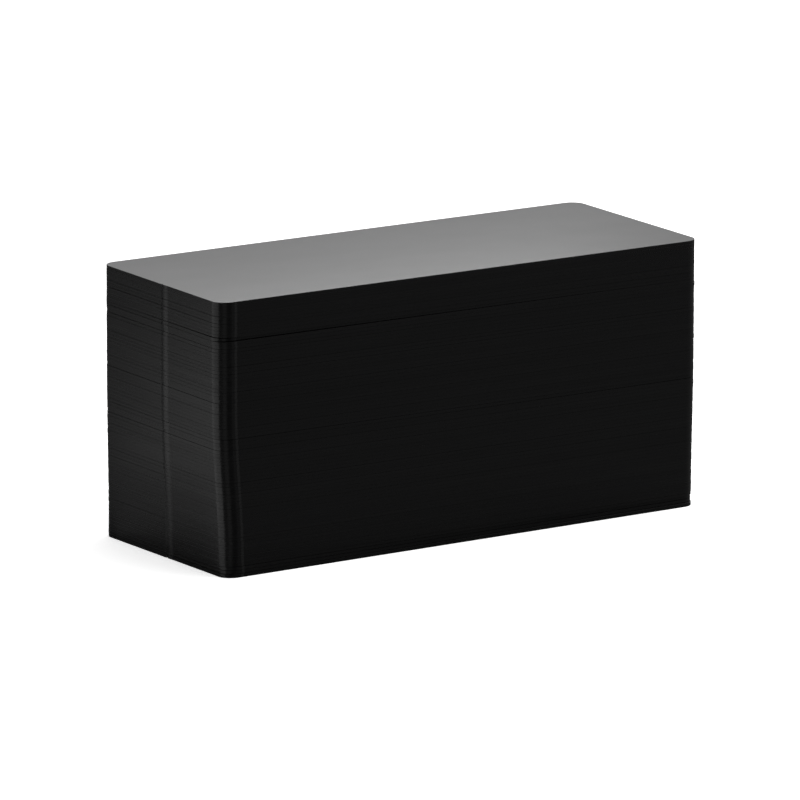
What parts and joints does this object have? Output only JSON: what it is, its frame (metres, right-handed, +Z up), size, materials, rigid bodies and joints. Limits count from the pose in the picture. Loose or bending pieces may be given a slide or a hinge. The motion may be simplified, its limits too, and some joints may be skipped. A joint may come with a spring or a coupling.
{
  "type": "blank card stack",
  "caption": "Squared-up stack of thin blank black plastic cards with rounded corners, lying flat on each other; every card slides out endwise.",
  "frame": {"origin": "middle of the stack's outline, in the plane that the bottom card rests on", "axes": "+X along the cards' long edges, away from the nicked short edge; +Y across the cards; +Z up through the stack"},
  "size_m": [0.1216, 0.0536, 0.0589],
  "materials": {
    "black_card": "satin black card plastic, smooth faces, finely ribbed cut edges"
  },
  "bodies": {
    "card_01": {"card_01": "black_card"},
    "card_02": {"card_02": "black_card"},
    "card_03": {"card_03": "black_card"},
    "card_04": {"card_04": "black_card"},
    "card_05": {"card_05": "black_card"},
    "card_06": {"card_06": "black_card"},
    "card_07": {"card_07": "black_card"},
    "card_08": {"card_08": "black_card"},
    "card_09": {"card_09": "black_card"},
    "card_10": {"card_10": "black_card"},
    "card_11": {"card_11": "black_card"},
    "card_12": {"card_12": "black_card"},
    "card_13": {"card_13": "black_card"},
    "card_14": {"card_14": "black_card"},
    "card_15": {"card_15": "black_card"},
    "card_16": {"card_16": "black_card"},
    "card_17": {"card_17": "black_card"},
    "card_18": {"card_18": "black_card"},
    "card_19": {"card_19": "black_card"},
    "card_20": {"card_20": "black_card"},
    "card_21": {"card_21": "black_card"},
    "card_22": {"card_22": "black_card"},
    "card_23": {"card_23": "black_card"},
    "card_24": {"card_24": "black_card"},
    "card_25": {"card_25": "black_card"},
    "card_26": {"card_26": "black_card"},
    "card_27": {"card_27": "black_card"},
    "card_28": {"card_28": "black_card"},
    "card_29": {"card_29": "black_card"},
    "card_30": {"card_30": "black_card"},
    "card_31": {"card_31": "black_card"},
    "card_32": {"card_32": "black_card"},
    "card_33": {"card_33": "black_card"},
    "card_34": {"card_34": "black_card"},
    "card_35": {"card_35": "black_card"},
    "card_36": {"card_36": "black_card"},
    "card_37": {"card_37": "black_card"},
    "card_38": {"card_38": "black_card"},
    "card_39": {"card_39": "black_card"},
    "card_40": {"card_40": "black_card"},
    "card_41": {"card_41": "black_card"},
    "card_42": {"card_42": "black_card"},
    "card_43": {"card_43": "black_card"},
    "card_44": {"card_44": "black_card"},
    "card_pair_45_46": {"card_pair_45_46": "black_card"},
    "card_pair_47_48": {"card_pair_47_48": "black_card"},
    "card_pair_49_50": {"card_pair_49_50": "black_card"},
    "card_pair_51_52": {"card_pair_51_52": "black_card"},
    "card_pair_53_54": {"card_pair_53_54": "black_card"},
    "card_pair_55_56": {"card_pair_55_56": "black_card"},
    "card_pair_57_58": {"card_pair_57_58": "black_card"},
    "card_pair_59_60": {"card_pair_59_60": "black_card"},
    "card_pair_61_62": {"card_pair_61_62": "black_card"},
    "card_pair_63_64": {"card_pair_63_64": "black_card"},
    "card_pair_65_66": {"card_pair_65_66": "black_card"},
    "card_pair_67_68": {"card_pair_67_68": "black_card"},
    "card_pair_69_70": {"card_pair_69_70": "black_card"},
    "card_pair_71_72": {"card_pair_71_72": "black_card"},
    "card_pair_73_74": {"card_pair_73_74": "black_card"},
    "card_pair_75_76": {"card_pair_75_76": "black_card"}
  },
  "joints": [
    {"name": "card_01_slide", "type": "slide", "parent": "card_pair_75_76", "child": "card_01", "axis": [1, 0, 0], "range_m": [-0.12, 0.12]},
    {"name": "card_02_slide", "type": "slide", "parent": "card_pair_75_76", "child": "card_02", "axis": [1, 0, 0], "range_m": [-0.12, 0.12]},
    {"name": "card_03_slide", "type": "slide", "parent": "card_pair_75_76", "child": "card_03", "axis": [1, 0, 0], "range_m": [-0.12, 0.12]},
    {"name": "card_04_slide", "type": "slide", "parent": "card_pair_75_76", "child": "card_04", "axis": [1, 0, 0], "range_m": [-0.12, 0.12]},
    {"name": "card_05_slide", "type": "slide", "parent": "card_pair_75_76", "child": "card_05", "axis": [1, 0, 0], "range_m": [-0.12, 0.12]},
    {"name": "card_06_slide", "type": "slide", "parent": "card_pair_75_76", "child": "card_06", "axis": [1, 0, 0], "range_m": [-0.12, 0.12]},
    {"name": "card_07_slide", "type": "slide", "parent": "card_pair_75_76", "child": "card_07", "axis": [1, 0, 0], "range_m": [-0.12, 0.12]},
    {"name": "card_08_slide", "type": "slide", "parent": "card_pair_75_76", "child": "card_08", "axis": [1, 0, 0], "range_m": [-0.12, 0.12]},
    {"name": "card_09_slide", "type": "slide", "parent": "card_pair_75_76", "child": "card_09", "axis": [1, 0, 0], "range_m": [-0.12, 0.12]},
    {"name": "card_10_slide", "type": "slide", "parent": "card_pair_75_76", "child": "card_10", "axis": [1, 0, 0], "range_m": [-0.12, 0.12]},
    {"name": "card_11_slide", "type": "slide", "parent": "card_pair_75_76", "child": "card_11", "axis": [1, 0, 0], "range_m": [-0.12, 0.12]},
    {"name": "card_12_slide", "type": "slide", "parent": "card_pair_75_76", "child": "card_12", "axis": [1, 0, 0], "range_m": [-0.12, 0.12]},
    {"name": "card_13_slide", "type": "slide", "parent": "card_pair_75_76", "child": "card_13", "axis": [1, 0, 0], "range_m": [-0.12, 0.12]},
    {"name": "card_14_slide", "type": "slide", "parent": "card_pair_75_76", "child": "card_14", "axis": [1, 0, 0], "range_m": [-0.12, 0.12]},
    {"name": "card_15_slide", "type": "slide", "parent": "card_pair_75_76", "child": "card_15", "axis": [1, 0, 0], "range_m": [-0.12, 0.12]},
    {"name": "card_16_slide", "type": "slide", "parent": "card_pair_75_76", "child": "card_16", "axis": [1, 0, 0], "range_m": [-0.12, 0.12]},
    {"name": "card_17_slide", "type": "slide", "parent": "card_pair_75_76", "child": "card_17", "axis": [1, 0, 0], "range_m": [-0.12, 0.12]},
    {"name": "card_18_slide", "type": "slide", "parent": "card_pair_75_76", "child": "card_18", "axis": [1, 0, 0], "range_m": [-0.12, 0.12]},
    {"name": "card_19_slide", "type": "slide", "parent": "card_pair_75_76", "child": "card_19", "axis": [1, 0, 0], "range_m": [-0.12, 0.12]},
    {"name": "card_20_slide", "type": "slide", "parent": "card_pair_75_76", "child": "card_20", "axis": [1, 0, 0], "range_m": [-0.12, 0.12]},
    {"name": "card_21_slide", "type": "slide", "parent": "card_pair_75_76", "child": "card_21", "axis": [1, 0, 0], "range_m": [-0.12, 0.12]},
    {"name": "card_22_slide", "type": "slide", "parent": "card_pair_75_76", "child": "card_22", "axis": [1, 0, 0], "range_m": [-0.12, 0.12]},
    {"name": "card_23_slide", "type": "slide", "parent": "card_pair_75_76", "child": "card_23", "axis": [1, 0, 0], "range_m": [-0.12, 0.12]},
    {"name": "card_24_slide", "type": "slide", "parent": "card_pair_75_76", "child": "card_24", "axis": [1, 0, 0], "range_m": [-0.12, 0.12]},
    {"name": "card_25_slide", "type": "slide", "parent": "card_pair_75_76", "child": "card_25", "axis": [1, 0, 0], "range_m": [-0.12, 0.12]},
    {"name": "card_26_slide", "type": "slide", "parent": "card_pair_75_76", "child": "card_26", "axis": [1, 0, 0], "range_m": [-0.12, 0.12]},
    {"name": "card_27_slide", "type": "slide", "parent": "card_pair_75_76", "child": "card_27", "axis": [1, 0, 0], "range_m": [-0.12, 0.12]},
    {"name": "card_28_slide", "type": "slide", "parent": "card_pair_75_76", "child": "card_28", "axis": [1, 0, 0], "range_m": [-0.12, 0.12]},
    {"name": "card_29_slide", "type": "slide", "parent": "card_pair_75_76", "child": "card_29", "axis": [1, 0, 0], "range_m": [-0.12, 0.12]},
    {"name": "card_30_slide", "type": "slide", "parent": "card_pair_75_76", "child": "card_30", "axis": [1, 0, 0], "range_m": [-0.12, 0.12]},
    {"name": "card_31_slide", "type": "slide", "parent": "card_pair_75_76", "child": "card_31", "axis": [1, 0, 0], "range_m": [-0.12, 0.12]},
    {"name": "card_32_slide", "type": "slide", "parent": "card_pair_75_76", "child": "card_32", "axis": [1, 0, 0], "range_m": [-0.12, 0.12]},
    {"name": "card_33_slide", "type": "slide", "parent": "card_pair_75_76", "child": "card_33", "axis": [1, 0, 0], "range_m": [-0.12, 0.12]},
    {"name": "card_34_slide", "type": "slide", "parent": "card_pair_75_76", "child": "card_34", "axis": [1, 0, 0], "range_m": [-0.12, 0.12]},
    {"name": "card_35_slide", "type": "slide", "parent": "card_pair_75_76", "child": "card_35", "axis": [1, 0, 0], "range_m": [-0.12, 0.12]},
    {"name": "card_36_slide", "type": "slide", "parent": "card_pair_75_76", "child": "card_36", "axis": [1, 0, 0], "range_m": [-0.12, 0.12]},
    {"name": "card_37_slide", "type": "slide", "parent": "card_pair_75_76", "child": "card_37", "axis": [1, 0, 0], "range_m": [-0.12, 0.12]},
    {"name": "card_38_slide", "type": "slide", "parent": "card_pair_75_76", "child": "card_38", "axis": [1, 0, 0], "range_m": [-0.12, 0.12]},
    {"name": "card_39_slide", "type": "slide", "parent": "card_pair_75_76", "child": "card_39", "axis": [1, 0, 0], "range_m": [-0.12, 0.12]},
    {"name": "card_40_slide", "type": "slide", "parent": "card_pair_75_76", "child": "card_40", "axis": [1, 0, 0], "range_m": [-0.12, 0.12]},
    {"name": "card_41_slide", "type": "slide", "parent": "card_pair_75_76", "child": "card_41", "axis": [1, 0, 0], "range_m": [-0.12, 0.12]},
    {"name": "card_42_slide", "type": "slide", "parent": "card_pair_75_76", "child": "card_42", "axis": [1, 0, 0], "range_m": [-0.12, 0.12]},
    {"name": "card_43_slide", "type": "slide", "parent": "card_pair_75_76", "child": "card_43", "axis": [1, 0, 0], "range_m": [-0.12, 0.12]},
    {"name": "card_44_slide", "type": "slide", "parent": "card_pair_75_76", "child": "card_44", "axis": [1, 0, 0], "range_m": [-0.12, 0.12]},
    {"name": "card_pair_45_46_slide", "type": "slide", "parent": "card_pair_75_76", "child": "card_pair_45_46", "axis": [1, 0, 0], "range_m": [-0.12, 0.12]},
    {"name": "card_pair_47_48_slide", "type": "slide", "parent": "card_pair_75_76", "child": "card_pair_47_48", "axis": [1, 0, 0], "range_m": [-0.12, 0.12]},
    {"name": "card_pair_49_50_slide", "type": "slide", "parent": "card_pair_75_76", "child": "card_pair_49_50", "axis": [1, 0, 0], "range_m": [-0.12, 0.12]},
    {"name": "card_pair_51_52_slide", "type": "slide", "parent": "card_pair_75_76", "child": "card_pair_51_52", "axis": [1, 0, 0], "range_m": [-0.12, 0.12]},
    {"name": "card_pair_53_54_slide", "type": "slide", "parent": "card_pair_75_76", "child": "card_pair_53_54", "axis": [1, 0, 0], "range_m": [-0.12, 0.12]},
    {"name": "card_pair_55_56_slide", "type": "slide", "parent": "card_pair_75_76", "child": "card_pair_55_56", "axis": [1, 0, 0], "range_m": [-0.12, 0.12]},
    {"name": "card_pair_57_58_slide", "type": "slide", "parent": "card_pair_75_76", "child": "card_pair_57_58", "axis": [1, 0, 0], "range_m": [-0.12, 0.12]},
    {"name": "card_pair_59_60_slide", "type": "slide", "parent": "card_pair_75_76", "child": "card_pair_59_60", "axis": [1, 0, 0], "range_m": [-0.12, 0.12]},
    {"name": "card_pair_61_62_slide", "type": "slide", "parent": "card_pair_75_76", "child": "card_pair_61_62", "axis": [1, 0, 0], "range_m": [-0.12, 0.12]},
    {"name": "card_pair_63_64_slide", "type": "slide", "parent": "card_pair_75_76", "child": "card_pair_63_64", "axis": [1, 0, 0], "range_m": [-0.12, 0.12]},
    {"name": "card_pair_65_66_slide", "type": "slide", "parent": "card_pair_75_76", "child": "card_pair_65_66", "axis": [1, 0, 0], "range_m": [-0.12, 0.12]},
    {"name": "card_pair_67_68_slide", "type": "slide", "parent": "card_pair_75_76", "child": "card_pair_67_68", "axis": [1, 0, 0], "range_m": [-0.12, 0.12]},
    {"name": "card_pair_69_70_slide", "type": "slide", "parent": "card_pair_75_76", "child": "card_pair_69_70", "axis": [1, 0, 0], "range_m": [-0.12, 0.12]},
    {"name": "card_pair_71_72_slide", "type": "slide", "parent": "card_pair_75_76", "child": "card_pair_71_72", "axis": [1, 0, 0], "range_m": [-0.12, 0.12]},
    {"name": "card_pair_73_74_slide", "type": "slide", "parent": "card_pair_75_76", "child": "card_pair_73_74", "axis": [1, 0, 0], "range_m": [-0.12, 0.12]}
  ]
}
